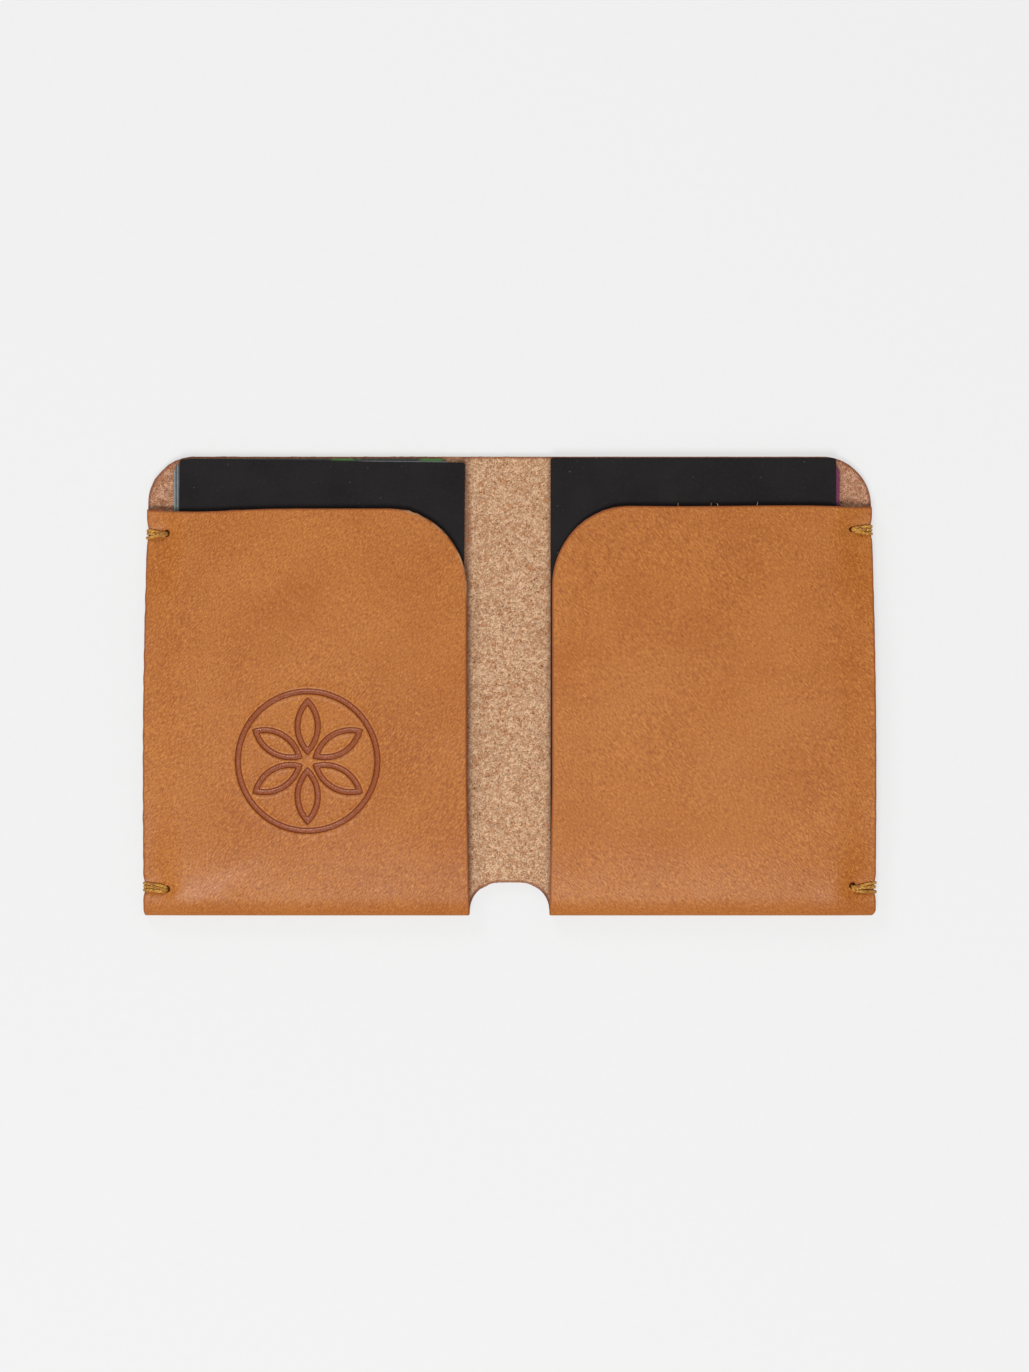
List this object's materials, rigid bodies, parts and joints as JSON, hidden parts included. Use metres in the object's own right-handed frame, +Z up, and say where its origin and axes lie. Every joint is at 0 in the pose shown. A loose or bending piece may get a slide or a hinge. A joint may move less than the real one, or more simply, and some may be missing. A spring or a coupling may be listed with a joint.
{
  "type": "card holder",
  "caption": "Bifold leather card holder lying open, with a card pocket on each side, thread-tacked corners and cards in both pockets.",
  "frame": {"origin": "centre of the open holder's footprint, on the surface it lies on", "axes": "+X runs across the open holder to its right half, +Y from the bottom fold to the pocket mouths, +Z up away from the surface"},
  "size_m": [0.1416, 0.0886, 0.0046],
  "materials": {
    "leather_back": "flesh side, napped, matte",
    "leather_pocket": "grain side, natural vegetable tan, satin",
    "thread": "waxed, twisted",
    "black_card": "matte",
    "grey_card": "satin",
    "magenta_card": "satin"
  },
  "bodies": {
    "spine": {"spine": "leather_back"},
    "right_half": {"back_panel_right": "leather_back", "bottom_fold_right": "leather_pocket", "pocket_right": "leather_pocket", "thread_tack_upper_right": "thread", "thread_tack_lower_right": "thread"},
    "left_half": {"back_panel_left": "leather_back", "bottom_fold_left": "leather_pocket", "pocket_left": "leather_pocket", "thread_tack_upper_left": "thread", "thread_tack_lower_left": "thread"},
    "card_right_front": {"front_card_right": "black_card"},
    "card_right_rear": {"rear_card_right": "magenta_card"},
    "card_left_front": {"front_card_left": "black_card"},
    "card_left_rear": {"rear_card_left": "grey_card"}
  },
  "joints": [
    {"name": "fold_right", "type": "hinge", "parent": "spine", "child": "right_half", "pos_m": [0.00325, 0, 0.0015], "axis": [0, -1, 0], "range_deg": [0, 90]},
    {"name": "fold_left", "type": "hinge", "parent": "spine", "child": "left_half", "pos_m": [-0.00325, 0, 0.0015], "axis": [0, 1, 0], "range_deg": [0, 90]},
    {"name": "pull_right_front_card", "type": "slide", "parent": "right_half", "child": "card_right_front", "axis": [0, 1, 0], "range_m": [0, 0.085]},
    {"name": "pull_right_rear_card", "type": "slide", "parent": "right_half", "child": "card_right_rear", "axis": [0, 1, 0], "range_m": [0, 0.085]},
    {"name": "pull_left_front_card", "type": "slide", "parent": "left_half", "child": "card_left_front", "axis": [0, 1, 0], "range_m": [0, 0.085]},
    {"name": "pull_left_rear_card", "type": "slide", "parent": "left_half", "child": "card_left_rear", "axis": [0, 1, 0], "range_m": [0, 0.085]}
  ],
  "couplings": [
    {"joint": "fold_left", "follows": "fold_right", "ratio": 1}
  ]
}
